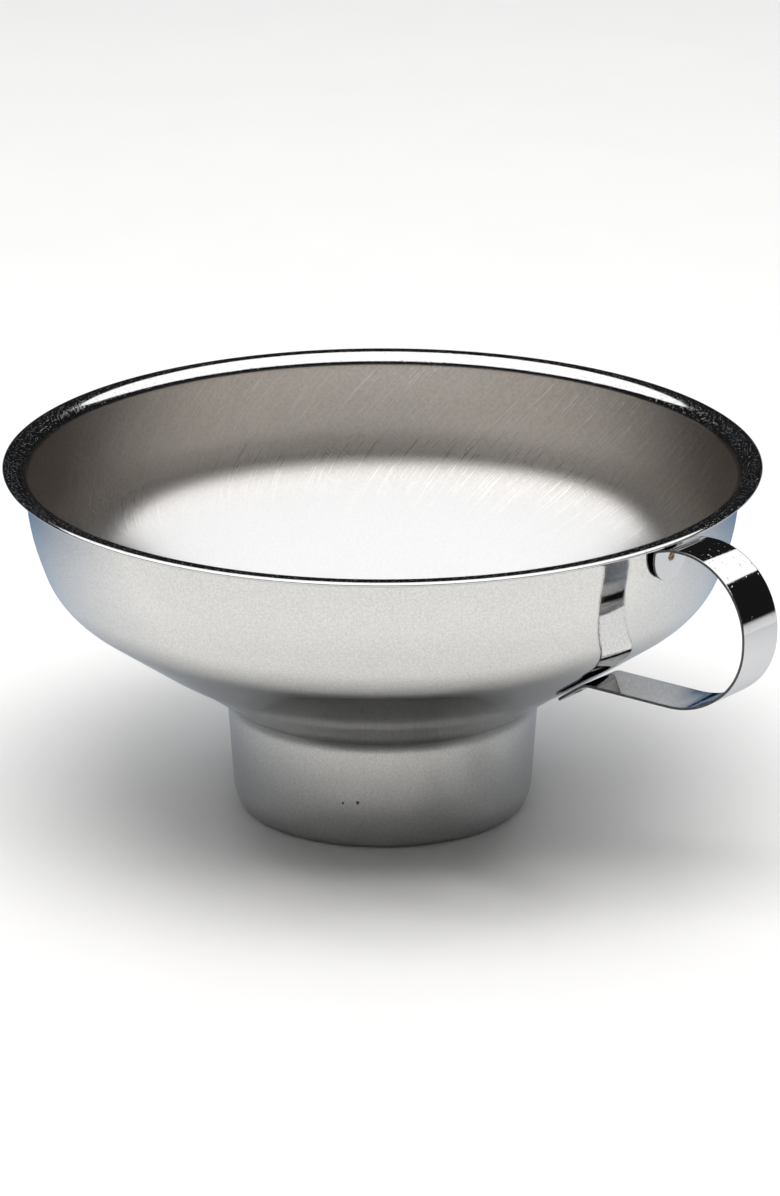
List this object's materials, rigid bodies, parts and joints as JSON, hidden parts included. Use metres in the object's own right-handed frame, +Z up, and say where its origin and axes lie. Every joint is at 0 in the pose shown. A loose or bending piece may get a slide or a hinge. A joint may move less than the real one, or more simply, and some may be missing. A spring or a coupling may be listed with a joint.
{
  "type": "canning funnel",
  "caption": "Wide-mouth steel canning funnel: shallow bowl with flared lip, short jar neck and a loop handle strip spot-welded under the lip and to the bowl's underside.",
  "frame": {"origin": "middle of the overall bounding box in X and Y, on the table plane that the neck's end stands on; the funnel's own axis is vertical at X = -8.275 mm, Y = 0", "axes": "+X from the funnel's axis towards the handle, +Z up out of the mouth, +Y completes a right-handed frame"},
  "size_m": [0.1566, 0.14, 0.0665],
  "materials": {
    "body_steel": "satin",
    "polished_strap": "mirror polished",
    "weld_steel": "heat tinted"
  },
  "bodies": {
    "root": {"bowl": "body_steel", "neck": "body_steel", "handle_strap": "polished_strap", "upper_spot_weld": "weld_steel", "lower_spot_weld": "weld_steel"}
  },
  "joints": []
}
